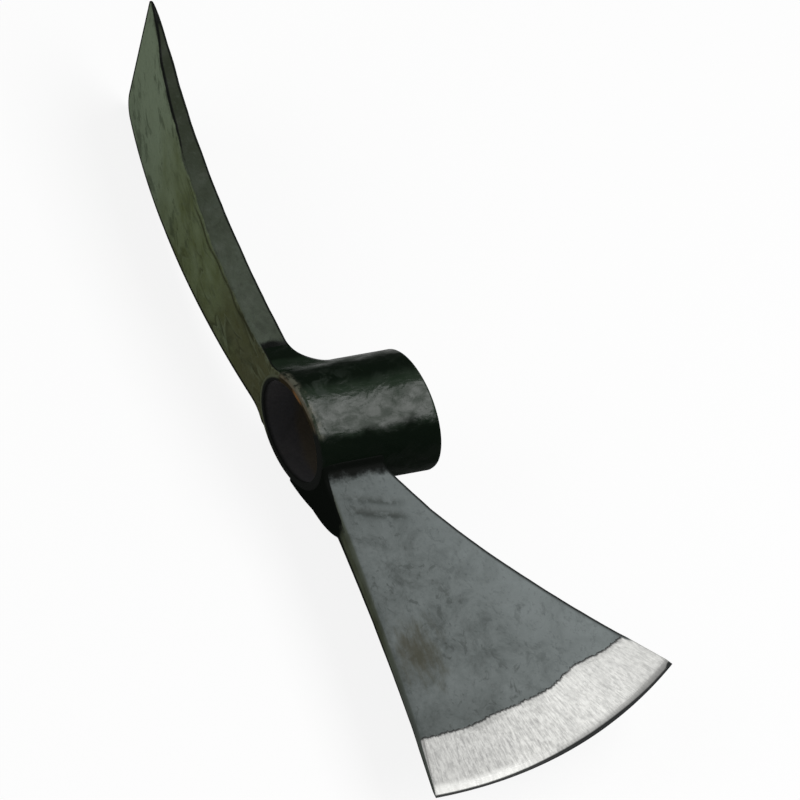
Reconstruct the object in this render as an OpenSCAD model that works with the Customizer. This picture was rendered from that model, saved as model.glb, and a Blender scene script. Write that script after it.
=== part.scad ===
/* [Eye] */
// Diameter of the bore that takes the handle
bore_d = 40; // [36:0.5:50]
// Wall of the round eye
eye_wall = 4; // [2:0.25:6]
// Length of the eye along its bore
eye_len = 48.5; // [42:0.5:65]
// Slope of the eye's open mouth, which lies flush with the roots of both blades
mouth_slope = 10.4; // [4:0.1:14]
// Slope of the eye's far end
end_slope = 9.4; // [0:0.1:14]

/* [Adze] */
// Distance from the bore's axis to the adze's cutting edge
adze_reach = 182; // [150:1:220]
// Radius of the arch of the adze's outer face
adze_arch_r = 440; // [350:5:900]
// Flat length of the adze's outer face between the eye and the arch
adze_flat = 2; // [0:0.5:8]
// Width of the adze where it leaves the eye
adze_root_w = 30; // [24:1:36]
// Width of the adze at its cutting edge
adze_edge_w = 69; // [45:1:95]
// How far each side of the adze is drawn in at half its length
adze_waist = 1.7; // [0:0.1:4]
// Thickness of the adze where it leaves the eye
adze_root_t = 12; // [8:0.5:16]
// Thickness of the adze behind its ground bevel
adze_tip_t = 4.3; // [3:0.1:7]
// Length of the adze's ground bevel
adze_bevel = 9; // [8:0.5:22]
// Length of the steel bit at the adze's end
adze_bit_len = 42; // [26:1:60]
// Radius of the adze's upper corner
adze_upper_corner = 2; // [1:0.5:10]
// Radius of the adze's lower corner, worn rounder than the upper one
adze_lower_corner = 8; // [1:0.5:14]
// Radius of the fillets between the adze and the eye
adze_fillet = 12.5; // [6:0.5:18]

/* [Axe] */
// Distance from the bore's axis to the toe of the axe's edge
axe_reach = 158.5; // [135:0.5:190]
// Straight length of the axe's edge from toe to heel
edge_len = 110; // [90:1:135]
// Angle by which the heel is swept back towards the eye
edge_sweep = 17; // [6:0.5:22]
// Height of the curve of the axe's edge over its straight length
edge_bulge = 9.3; // [4:0.1:16]
// Distance from the bore's axis at which the outer edge leaves the mouth's plane
outer_start = 24.5; // [16:0.5:32]
// Hollow of the axe's outer edge
outer_hollow = 1.2; // [0:0.1:4]
// Hollow of the axe's inner edge, from the neck to the heel
inner_hollow = 4.1; // [0:0.1:9]
// Distance from the bore's axis to the step between the neck and the blade
neck_reach = 46; // [40:0.5:56]
// Width of the axe at that step
neck_w = 36; // [30:0.5:46]
// Width of the axe's root at the side of the eye
root_w = 24.5; // [14:0.5:30]
// Radius of the fillet between the axe's upper face and the eye
neck_fillet = 6; // [3:0.5:12]
// Thickness of the blade at the step
blade_t = 10.4; // [8:0.2:14]
// Thickness of the blade behind the ground band
band_t = 6; // [4:0.2:8]
// Width of the ground steel bit at the toe
band_w = 24; // [14:0.5:34]
// Width of the ground steel bit at the heel
band_heel_w = 20.5; // [14:0.5:34]

/* [Edges] */
// Thickness left at both cutting edges
edge_t = 0.6; // [0.4:0.1:1.2]

/* [Hidden] */

// Facets of the true round forms
$fn = 128;
// Strips across the width of each blade
adze_strips = 10;
axe_strips = 16;

// The eye's outside, and a length longer than the whole head for cuts
eye_r = bore_d / 2 + eye_wall;
beyond = 2 * (adze_reach + axe_reach);

// The adze's arch starts at the flat's end, tangent to the mouth's plane
arch_x = -(eye_r + adze_flat);
arch_cx = arch_x - adze_arch_r * sin(mouth_slope);
arch_cy = mouth_y(arch_x) + adze_arch_r * cos(mouth_slope);
bevel_x = -(adze_reach - adze_bevel);
adze_seam_x = -(adze_reach - adze_bit_len);
// The adze's side fillet touches the side at side_x and the eye at touch_x
side_x = sqrt(pow(eye_r + adze_fillet, 2) - pow(adze_root_w / 2 + adze_fillet, 2));
touch_x = side_x * eye_r / (eye_r + adze_fillet);

// The axe's corners, in the plane of the blade
outer_y = mouth_y(outer_start);
toe = [axe_reach, outer_y];
heel = toe + edge_len * [-sin(edge_sweep), cos(edge_sweep)];
neck_out = [neck_reach, outer_y];
neck_in = [neck_reach, outer_y + neck_w];
// The neck's upper face is flat to fillet_x, and its fillet touches the eye at fillet_touch
fillet_x = sqrt(pow(eye_r + neck_fillet, 2) - pow(blade_t / 2 + neck_fillet, 2));
fillet_touch = fillet_x * eye_r / (eye_r + neck_fillet);
// The web under the neck is an arc from the eye's lowest line to the blade's lower face
web_drop = eye_r - blade_t / 2;
web_r = (pow(neck_reach, 2) + pow(web_drop, 2)) / (2 * web_drop);
web_start = eye_r / 4;

function mix(a, b, k) = a + (b - a) * k;
// Height of a curve that is nought at both ends and 1 in the middle
function bow(k) = 4 * k * (1 - k);
// Inset of a quarter round of radius r at distance d from its end
function round_in(r, d) = d >= r ? 0 : d <= 0 ? r : r - sqrt(r * r - pow(r - d, 2));
function mouth_y(x) = -eye_len / 2 + x * tan(mouth_slope);

// Outer face, thickness and half width of the adze at x, which is negative
function adze_outer_y(x) =
    x > arch_x ? mouth_y(x) : arch_cy - sqrt(pow(adze_arch_r, 2) - pow(x - arch_cx, 2));
function adze_t(x) =
    x > arch_x ? adze_root_t :
    x > bevel_x ? mix(adze_root_t, adze_tip_t, pow((x - arch_x) / (bevel_x - arch_x), 2)) :
    mix(edge_t, adze_tip_t, (x + adze_reach) / adze_bevel);
function adze_side(x) =
    let (u = max(0, (x - arch_x) / (-adze_reach - arch_x)))
    mix(adze_root_w, adze_edge_w, u) / 2 - adze_waist * bow(u);
function adze_half_w(x) =
    adze_side(x) + (-x >= side_x ? 0 : round_in(adze_fillet, max(-x, touch_x) - side_x + adze_fillet));
// How far the fillet lifts the inner face, from the distance to the eye's round side
function adze_lift(x, z) = round_in(adze_fillet, -x - sqrt(max(0, eye_r * eye_r - z * z)));

// A row of the adze starts as a line at distance row[0] from the eye's round side,
// and has gone the share row[1] of the way to the straight line at X = row[2]
function row_x(row, z) = mix(-row[0] - sqrt(max(0, eye_r * eye_r - z * z)), row[2], row[1]);
// The row's end on the adze's side, closed in on by repeating
function row_side(row, z = adze_root_w / 2, turns = 8) =
    turns == 0 ? z : row_side(row, adze_half_w(row_x(row, z)), turns - 1);
function adze_row(row, inner) =
    let (
        end = row[1] < 1 ? adze_reach : row[2] + adze_reach,
        side = row_side(row),
        top = side - round_in(adze_upper_corner, end),
        low = -side + round_in(adze_lower_corner, end)
    )
    [for (j = [0:adze_strips])
        let (
            z = mix(low, top, j / adze_strips),
            x = row_x(row, z),
            y = adze_outer_y(x) + (inner ? adze_t(x) + adze_lift(x, z) : 0)
        )
        [x, y, z]];
// Rows up the fillet, along the body, along the bit and over its bevel
root_rows = concat([[-eye_wall / 4, 0, 0]],
    [for (k = [1:9]) [adze_fillet * (1 - cos(10 * k)), 0, 0]]);
body_rows = [for (k = [1:10]) [adze_fillet, k / 10, adze_seam_x]];
bit_rows = [for (k = [0:4]) [0, 1, mix(adze_seam_x, bevel_x, k / 4)]];
tip_rows = [for (k = [1:10]) [0, 1, mix(bevel_x, -adze_reach, sin(9 * k))]];

// The axe's four borders: outer and inner edge, neck step and cutting edge
function outer_edge(s) = mix(neck_out, toe, s) + [0, outer_hollow * bow(s)];
function inner_edge(s) = mix(neck_in, heel, s) - [0, inner_hollow * bow(s)];
function cutting_edge(v) =
    mix(toe, heel, v) + edge_bulge * bow(v) * [cos(edge_sweep), sin(edge_sweep)];
// A point of the patch that those borders span
function axe_point(s, v) =
    mix(outer_edge(s), inner_edge(s), v) + mix(mix(neck_out, neck_in, v), cutting_edge(v), s)
    - mix(mix(neck_out, neck_in, v), mix(toe, heel, v), s);
// Share of the patch's length that lies behind the ground band
function band_start(v) =
    1 - mix(band_w, band_heel_w, v) / norm(cutting_edge(v) - mix(neck_out, neck_in, v));
// Height of the neck's upper face and of the web's underside
function neck_top(x) =
    blade_t / 2 + round_in(neck_fillet, max(x, fillet_touch) - fillet_x + neck_fillet);
function web_z(x) = web_r - eye_r - sqrt(web_r * web_r - x * x);
function neck_row(x, z) =
    let (
        outer = mouth_y(min(x, outer_start)),
        w = mix(root_w, neck_w, max(0, x - eye_r) / (neck_reach - eye_r))
    )
    [for (j = [0:axe_strips]) [x, outer + w * j / axe_strips, z]];
function blade_row(k, side) =
    [for (j = [0:axe_strips])
        let (v = j / axe_strips, p = axe_point(k * band_start(v), v))
        [p.x, p.y, side * mix(blade_t, band_t, k) / 2]];
function band_row(k, side) =
    [for (j = [0:axe_strips])
        let (v = j / axe_strips, p = axe_point(mix(band_start(v), 1, k), v))
        [p.x, p.y, side * mix(band_t, edge_t, k) / 2]];
// Rows inside the eye, up the fillet and along the neck
neck_rows = concat(
    [for (k = [0:3]) mix(web_start, fillet_touch - eye_wall / 4, k / 3)],
    [for (k = [1:6]) mix(fillet_touch, fillet_x, k / 6)],
    [for (k = [1:5]) mix(fillet_x, neck_reach, k / 5)]);

// A closed solid between two grids of points, low and high, with the same rows and columns
module slab(low, high) {
    n = len(low);
    m = len(low[0]);
    points = concat([for (r = low) each r], [for (r = high) each r]);
    function lo(i, j) = i * m + j;
    function hi(i, j) = n * m + i * m + j;
    function quad(a, b, c, d) = [[a, b, c], [a, c, d]];
    skins = [for (i = [0:n - 2], j = [0:m - 2]) each concat(
        quad(hi(i, j), hi(i, j + 1), hi(i + 1, j + 1), hi(i + 1, j)),
        quad(lo(i, j), lo(i + 1, j), lo(i + 1, j + 1), lo(i, j + 1)))];
    sides = [for (i = [0:n - 2]) each concat(
        quad(lo(i, 0), hi(i, 0), hi(i + 1, 0), lo(i + 1, 0)),
        quad(lo(i, m - 1), lo(i + 1, m - 1), hi(i + 1, m - 1), hi(i, m - 1)))];
    ends = [for (j = [0:m - 2]) each concat(
        quad(lo(0, j), lo(0, j + 1), hi(0, j + 1), hi(0, j)),
        quad(lo(n - 1, j), hi(n - 1, j), hi(n - 1, j + 1), lo(n - 1, j + 1)))];
    polyhedron(points, concat(skins, sides, ends), convexity = 6);
}

// The half of space past the sloping plane that crosses the bore's axis at y
module past_plane(y, slope) {
    translate([0, y, 0])
        rotate([0, 0, slope])
            translate([-beyond / 2, 0, -beyond / 2])
                cube(beyond);
}

module eye_cylinder(r) {
    rotate([-90, 0, 0])
        cylinder(r = r, h = beyond, center = true);
}

module eye_barrel() {
    color([0.13, 0.13, 0.13])
        difference() {
            intersection() {
                eye_cylinder(eye_r);
                past_plane(-eye_len / 2, mouth_slope);
            }
            past_plane(eye_len / 2, end_slope);
            eye_cylinder(bore_d / 2);
        }
}

module adze_blade() {
    rows = concat(root_rows, body_rows);
    color([0.28, 0.30, 0.24])
        difference() {
            slab([for (r = rows) adze_row(r, false)], [for (r = rows) adze_row(r, true)]);
            eye_cylinder(eye_r);
        }
}

module adze_bit() {
    rows = concat(bit_rows, tip_rows);
    color([0.33, 0.36, 0.31])
        slab([for (r = rows) adze_row(r, false)], [for (r = rows) adze_row(r, true)]);
}

module axe_blade() {
    steps = [for (k = [1:8]) k / 8];
    color([0.38, 0.41, 0.41])
        difference() {
            slab(
                concat([for (x = neck_rows) neck_row(x, web_z(x))], [for (k = steps) blade_row(k, -1)]),
                concat([for (x = neck_rows) neck_row(x, neck_top(x))], [for (k = steps) blade_row(k, 1)]));
            eye_cylinder(eye_r);
        }
}

module axe_bit() {
    steps = [for (k = [0:4]) k / 4];
    color([0.80, 0.80, 0.79])
        slab([for (k = steps) band_row(k, -1)], [for (k = steps) band_row(k, 1)]);
}

eye_barrel();
adze_blade();
adze_bit();
axe_blade();
axe_bit();
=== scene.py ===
"""Dressed model of a forged mattock head: a round eye, an arched adze and a fan-shaped axe."""

import logging
import math
from dataclasses import dataclass
from enum import Enum
from typing import Callable, Union

import bpy
import numpy as np
from bpy.types import Material, NodeSocket, Object
from mathutils import Matrix


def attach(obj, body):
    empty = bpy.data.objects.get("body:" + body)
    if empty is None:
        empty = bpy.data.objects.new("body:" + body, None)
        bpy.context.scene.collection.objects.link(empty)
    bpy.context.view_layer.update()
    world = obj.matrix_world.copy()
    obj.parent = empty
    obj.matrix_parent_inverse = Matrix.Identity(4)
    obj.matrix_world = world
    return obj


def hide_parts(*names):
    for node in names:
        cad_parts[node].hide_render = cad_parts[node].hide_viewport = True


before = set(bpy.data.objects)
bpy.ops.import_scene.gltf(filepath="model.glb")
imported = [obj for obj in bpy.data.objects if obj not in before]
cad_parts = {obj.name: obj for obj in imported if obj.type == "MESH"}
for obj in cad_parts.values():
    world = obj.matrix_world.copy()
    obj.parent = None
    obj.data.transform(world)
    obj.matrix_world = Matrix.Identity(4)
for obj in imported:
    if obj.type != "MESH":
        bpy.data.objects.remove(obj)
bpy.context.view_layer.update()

Array = np.ndarray
Triple = tuple[float, float, float]
Colour = Triple
Input = Union[float, "Field"]
Paint = Union[Colour, "Field"]
Coat = tuple[Paint, Input]

LOG = logging.getLogger("mattock_head")
MM = 0.001
QUARTER = math.pi / 2


class Slot(Enum):
    """Names of four material slots."""

    BLACK_EYE = "black_eye"
    ADZE_SCALE = "adze_scale"
    AXE_SCALE = "axe_scale"
    GROUND_STEEL = "ground_steel"


class Wrap(Enum):
    """How a grid of points is closed: into a tube with two caps, or into a ring."""

    CAPPED_TUBE = "capped_tube"
    RING = "ring"


def mix(a: Array, b: Array, k: Array) -> Array:
    """Straight blend from a to b by the share k."""
    return a + (b - a) * k


def bow(k: Array) -> Array:
    """Parabola that is nought at 0 and 1, and 1 in the middle."""
    return 4 * k * (1 - k)


def ease(low: float, high: float, x: Array) -> Array:
    """Smooth step from 0 at low to 1 at high."""
    k = np.clip((x - low) / (high - low), 0, 1)
    return k * k * (3 - 2 * k)


def round_in(radius: float, d: Array) -> Array:
    """Inset of a quarter round at distance d from its end."""
    k = np.clip(radius - d, 0, radius)
    return radius - np.sqrt(radius * radius - k * k)


def joined(legs: tuple) -> Array:
    """Joins the legs of a path, each with one entry per measure; a constant is spread over its leg."""
    return np.hstack([np.vstack(np.broadcast_arrays(*leg)) for leg in legs])


def ripple(u: Array, v: Array, wave: float, seed: int, count: int = 20) -> Array:
    """Gentle seeded waves over a surface.

    The height is the sum of `count` cosines whose directions, lengths and phases are drawn from
    the seed, scaled so that it stays mostly between -1 and 1.

    Args:
        u, v: Coordinates on the surface in millimetres.
        wave: Mean wavelength in millimetres.
        seed: Seed of the draw.
        count: Number of cosines.

    Returns:
        Heights, with the shape of u and v.
    """
    draw = np.random.default_rng(seed)
    turn = draw.uniform(0, math.tau, count)
    length = wave * draw.uniform(0.6, 1.7, count)
    phase = draw.uniform(0, math.tau, count)
    along = np.multiply.outer(u, np.cos(turn) / length) + np.multiply.outer(v, np.sin(turn) / length)
    return np.cos(math.tau * along + phase).sum(axis=-1) / math.sqrt(2 * count)


@dataclass(frozen=True)
class Wave:
    """One set of shallow hammer waves: mean length and depth in millimetres, and a seed."""

    length: float
    depth: float
    seed: int

    def sink(self, u: Array, v: Array) -> Array:
        """Depth of the waves below the plain surface."""
        return self.depth * (1 - ripple(u, v, self.length, self.seed))


def sunk(waves: tuple[Wave, ...], u: Array, v: Array) -> Array:
    """Depth of several sets of waves together."""
    return sum(wave.sink(u, v) for wave in waves)


@dataclass(frozen=True)
class RingPlan:
    """Places of the points round a blade's cross-section, which is a rounded rectangle.

    The ring starts at the middle of the first side, goes over the first corner, the upper face
    and the second corner to the middle of the second side, and comes back over the lower face, so
    that point j and point count - j lie over each other.
    """

    face: int
    corner: int
    side: int

    def parts(self) -> dict[str, Array]:
        """Works out each point's share of every part of the section.

        Returns:
            first, middle and second: shares of the first radius, of the face and of the second
            radius in the distance across. up and arc: shares of the straight side and of the
            corner's radius in the height. sign: 1 on the upper half and -1 on the lower.
        """
        rise = np.linspace(0, 1, self.side, endpoint=False)
        turn = np.linspace(0, QUARTER, self.corner, endpoint=False)
        run = np.linspace(0, 1, self.face + 1)
        back = np.linspace(0, QUARTER, self.corner + 1)[1:]
        fall = np.linspace(1, 0, self.side + 1)[1:]
        half = joined((
            (0, 0, 0, rise, 0),
            (1 - np.cos(turn), 0, 0, 1, np.sin(turn)),
            (1, run, 0, 1, 1),
            (1, 1, np.sin(back), 1, np.cos(back)),
            (1, 1, 1, fall, 0)))
        ring = np.hstack([half, half[:, -2:0:-1]])
        parts = dict(zip(("first", "middle", "second", "up", "arc"), ring))
        middle = half.shape[1] - 1
        parts["sign"] = np.where(np.arange(2 * middle) <= middle, 1.0, -1.0)
        return parts

    def across(self, width: Array, first: Array, second: Array) -> Array:
        """Distance of every point from the first side.

        Args:
            width: Width of each row's section.
            first, second: Corner radius at each side of each row.

        Returns:
            Rows by ring points, in millimetres.
        """
        p = self.parts()
        w, a, b = (np.asarray(k, float).reshape(-1, 1) for k in (width, first, second))
        return p["first"] * a + p["middle"] * (w - a - b) + p["second"] * b


def grid_faces(rows: int, columns: int, wrap: Wrap) -> list[list[int]]:
    """Faces of a grid whose columns close on themselves.

    Args:
        rows: Number of rows.
        columns: Points in each row.
        wrap: CAPPED_TUBE closes the first and last row with strips between point j and point
            columns - j. RING joins the last row to the first.

    Returns:
        Quads and triangles as lists of point numbers.
    """
    steps = rows if wrap is Wrap.RING else rows - 1
    i, j = np.meshgrid(np.arange(steps), np.arange(columns), indexing="ij")
    here, after, beside = i * columns, (i + 1) % rows * columns, (j + 1) % columns
    quads = np.stack([here + j, here + beside, after + beside, after + j], -1)
    faces = quads.reshape(-1, 4).tolist()
    if wrap is Wrap.CAPPED_TUBE:
        half = columns // 2
        k = np.arange(1, half - 1)
        strip = np.stack([k, columns - k, columns - k - 1, k + 1], -1)
        ends = np.array([[0, columns - 1, 1], [half - 1, half + 1, half]])
        last = (rows - 1) * columns
        faces += strip.tolist() + ends.tolist()
        faces += (strip[:, ::-1] + last).tolist() + (ends[:, ::-1] + last).tolist()
    return faces


def signed_volume(points: Array, faces: list[list[int]]) -> float:
    """Volume enclosed by the faces, negative where they point inwards."""
    corners = np.array([f if len(f) == 4 else f + f[-1:] for f in faces])
    a, b, c, d = (points[corners[:, k]] for k in range(4))
    return float((a * (np.cross(b, c) + np.cross(c, d))).sum() / 6)


def make_piece(name: str, grid: Array, layers: dict[str, Array], wrap: Wrap, sharp: float) -> Object:
    """Puts a grid of points into a closed mesh object with its faces outwards.

    Args:
        name: Name of the piece.
        grid: Rows by columns by three, in millimetres.
        layers: Point attributes, each rows by columns.
        wrap: How the grid is closed.
        sharp: Angle in degrees above which an edge is sharp.

    Returns:
        The new object, at the origin.
    """
    shape = grid.shape[:2]
    points = grid.reshape(-1, 3)
    faces = grid_faces(*shape, wrap)
    if signed_volume(points, faces) < 0:
        faces = [f[::-1] for f in faces]
    mesh = bpy.data.meshes.new(name)
    mesh.from_pydata((points * MM).tolist(), [], faces)
    for label, values in layers.items():
        layer = mesh.attributes.new(label, "FLOAT", "POINT")
        layer.data.foreach_set("value", np.broadcast_to(values, shape).astype(np.float32).ravel())
    mesh.shade_smooth()
    mesh.set_sharp_from_angle(angle=math.radians(sharp))
    mesh.update()
    piece = bpy.data.objects.new(name, mesh)
    bpy.context.collection.objects.link(piece)
    return piece


def lay_second(piece: Object, material: Material, layer: str, least: float) -> None:
    """Gives a second material to the faces whose points all have a layer's value above a limit.

    Args:
        piece: The piece, with its first material.
        material: The second material.
        layer: Name of the layer.
        least: The limit.
    """
    mesh = piece.data
    values = np.empty(len(mesh.vertices), np.float32)
    corners = np.empty(len(mesh.loops), np.int32)
    starts = np.empty(len(mesh.polygons), np.int32)
    mesh.attributes[layer].data.foreach_get("value", values)
    mesh.loops.foreach_get("vertex_index", corners)
    mesh.polygons.foreach_get("loop_start", starts)
    lowest = np.minimum.reduceat(values[corners], starts)
    mesh.materials.append(material)
    mesh.polygons.foreach_set("material_index", (lowest > least).astype(np.int32))
    mesh.update()


def dress(piece: Object, material: Material, node: str) -> None:
    """Gives a piece its material and puts it in the frame in place of a solid.

    Args:
        piece: The piece.
        material: Its material.
        node: The solid that it stands for.
    """
    piece.data.materials.append(material)
    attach(piece, "root")
    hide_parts(node)
    LOG.info("%s: %d points, %d faces", piece.name, len(piece.data.vertices), len(piece.data.polygons))


@dataclass(frozen=True)
class Pattern:
    """A soft noise of about 0.5 on the average, in waves per metre, on axes that may be stretched."""

    scale: float
    detail: float = 3.0
    roughness: float = 0.55
    warp: float = 0.0
    stretch: Triple = (1.0, 1.0, 1.0)


@dataclass(frozen=True)
class Spot:
    """A place on the head and its half sizes along the axes, in millimetres."""

    centre: Triple
    size: Triple


class Field:
    """A value or colour that varies over a surface; arithmetic on it adds nodes to its recipe."""

    def __init__(self, recipe: "Recipe", socket: NodeSocket) -> None:
        """Wraps an output of the recipe's nodes."""
        self.recipe = recipe
        self.socket = socket

    def __add__(self, other: Input) -> "Field":
        """Sum of two values."""
        return self.recipe.sums("ADD", self, other)

    def __sub__(self, other: Input) -> "Field":
        """Difference of two values."""
        return self.recipe.sums("SUBTRACT", self, other)

    def __rsub__(self, other: float) -> "Field":
        """A number less this value."""
        return self.recipe.sums("SUBTRACT", other, self)

    def __mul__(self, other: Input) -> "Field":
        """Product of two values."""
        return self.recipe.sums("MULTIPLY", self, other)

    def most(self, other: Input) -> "Field":
        """The larger of two values."""
        return self.recipe.sums("MAXIMUM", self, other)

    def size(self) -> "Field":
        """The value without its sign."""
        return self.recipe.sums("ABSOLUTE", self)

    def step(self, low: float, high: float, end: float = 1.0, start: float = 0.0) -> "Field":
        """Smooth step over the value.

        Args:
            low, high: The values at which the step starts and ends; low may be the larger one.
            end, start: Results past the one and before the other.

        Returns:
            The step.
        """
        limits = (low, high, start, end) if low < high else (high, low, end, start)
        names = ("From Min", "From Max", "To Min", "To Max")
        inputs = {"Value": self, **dict(zip(names, limits))}
        return self.recipe.node("MapRange", inputs, "Result", interpolation_type="SMOOTHSTEP")


class Recipe:
    """A material's node tree, with short calls for the nodes that the finishes use."""

    def __init__(self, name: str) -> None:
        """Starts a material with a principled shader and object coordinates."""
        self.material = bpy.data.materials.new(name)
        self.material.use_nodes = True
        self.tree = self.material.node_tree
        self.shader = self.tree.nodes["Principled BSDF"]
        self.place = self.node("TexCoord", {}, "Object")

    def plug(self, socket: NodeSocket, value: object) -> None:
        """Links a socket, or sets its constant."""
        if isinstance(value, Field):
            self.tree.links.new(value.socket, socket)
        elif isinstance(value, tuple) and socket.type == "RGBA":
            socket.default_value = (*value, 1.0)
        else:
            socket.default_value = value

    def node(self, kind: str, inputs: dict, output: Union[int, str] = 0, **options: object) -> Field:
        """Adds a node.

        Args:
            kind: The node's type, without its prefix.
            inputs: Values by the name or number of their sockets.
            output: Name or number of the output.
            **options: The node's own settings.

        Returns:
            That output.
        """
        node = self.tree.nodes.new("ShaderNode" + kind)
        for name, value in options.items():
            setattr(node, name, value)
        for key, value in inputs.items():
            self.plug(node.inputs[key], value)
        return Field(self, node.outputs[output])

    def layer(self, name: str) -> Field:
        """Value of one of the mesh's own attributes."""
        return self.node("Attribute", {}, "Fac", attribute_name=name)

    def sums(self, operation: str, a: Input, b: Input = 0.0) -> Field:
        """One step of arithmetic."""
        return self.node("Math", {0: a, 1: b}, operation=operation)

    def axis(self, name: str) -> Field:
        """One object coordinate, X, Y or Z, in millimetres."""
        return self.sums("DIVIDE", self.node("SeparateXYZ", {0: self.place}, name), MM)

    def distance(self, spot: Spot) -> Field:
        """Distance from a spot's centre.

        Args:
            spot: The spot.

        Returns:
            The distance in the spot's half sizes, so that it is 1 at the border.
        """
        centre, size = (tuple(k * MM for k in part) for part in (spot.centre, spot.size))
        shift = self.node("VectorMath", {0: self.place, 1: centre}, operation="SUBTRACT")
        scale = self.node("VectorMath", {0: shift, 1: size}, operation="DIVIDE")
        return self.node("VectorMath", {0: scale}, "Value", operation="LENGTH")

    def noise(self, pattern: Pattern, *coordinates: Field) -> Field:
        """A pattern's values.

        Args:
            pattern: The pattern.
            *coordinates: Two coordinates of the surface, in place of the object's axes.

        Returns:
            Values of about 0.5 on the average.
        """
        if coordinates:
            where = self.node("CombineXYZ", dict(enumerate(coordinates)))
        else:
            stretch = {"Vector": self.place, "Scale": pattern.stretch}
            where = self.node("Mapping", stretch, vector_type="POINT")
        inputs = {"Vector": where, "Scale": pattern.scale, "Detail": pattern.detail,
                  "Roughness": pattern.roughness, "Distortion": pattern.warp}
        return self.node("TexNoise", inputs, "Fac")

    def drift(self, pattern: Pattern, reach: float) -> Field:
        """A pattern that wavers about nought."""
        return (self.noise(pattern) - 0.5) * reach

    def shades(self, value: Field, *stops: tuple[float, Colour]) -> Field:
        """Colour ramp over a value.

        Args:
            value: The value.
            *stops: Places on the ramp with their colours.

        Returns:
            The colour.
        """
        colour = self.node("ValToRGB", {"Fac": value}, "Color")
        elements = colour.socket.node.color_ramp.elements
        while len(elements) < len(stops):
            elements.new(0.5)
        for element, (place, shade) in zip(elements, stops):
            element.position = place
            element.color = (*shade, 1.0)
        return colour

    def over(self, below: Paint, *coats: Coat) -> Field:
        """Lays coats of colour over one another, each by its share."""
        for above, share in coats:
            below = self.node("Mix", {0: share, 6: below, 7: above}, 2, data_type="RGBA")
        return below

    def between(self, a: Input, b: Input, share: Input) -> Field:
        """One value blended into another by a share."""
        return self.node("Mix", {0: share, 2: a, 3: b})

    def relief(self, *heights: tuple[Field, float]) -> Field:
        """Fine relief, laid on the surface height by height.

        Args:
            *heights: Heights between 0 and 1 with their depths in millimetres.

        Returns:
            The normal.
        """
        below = {}
        for height, depth in heights:
            inputs = {"Strength": 1.0, "Distance": depth * MM, "Height": height, **below}
            below = {"Normal": self.node("Bump", inputs, "Normal")}
        return below["Normal"]

    def glow(self, share: float) -> None:
        """Lays plain white over the shader for rays from the camera, mirrors and glass.

        Args:
            share: The share of white.
        """
        rays = ("Is Camera Ray", "Is Glossy Ray", "Is Transmission Ray")
        camera, glossy, through = (self.node("LightPath", {}, ray) for ray in rays)
        seen = camera.most(glossy.most(through)) * share
        inputs = {0: seen, 1: Field(self, self.shader.outputs[0]), 2: self.node("Emission", {})}
        self.plug(self.tree.nodes["Material Output"].inputs["Surface"], self.node("MixShader", inputs))

    def finish(self, **inputs: object) -> Material:
        """Plugs the shader's sockets, with _ for a space in their names."""
        for name, value in inputs.items():
            self.plug(self.shader.inputs[name.replace("_", " ")], value)
        return self.material


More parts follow.
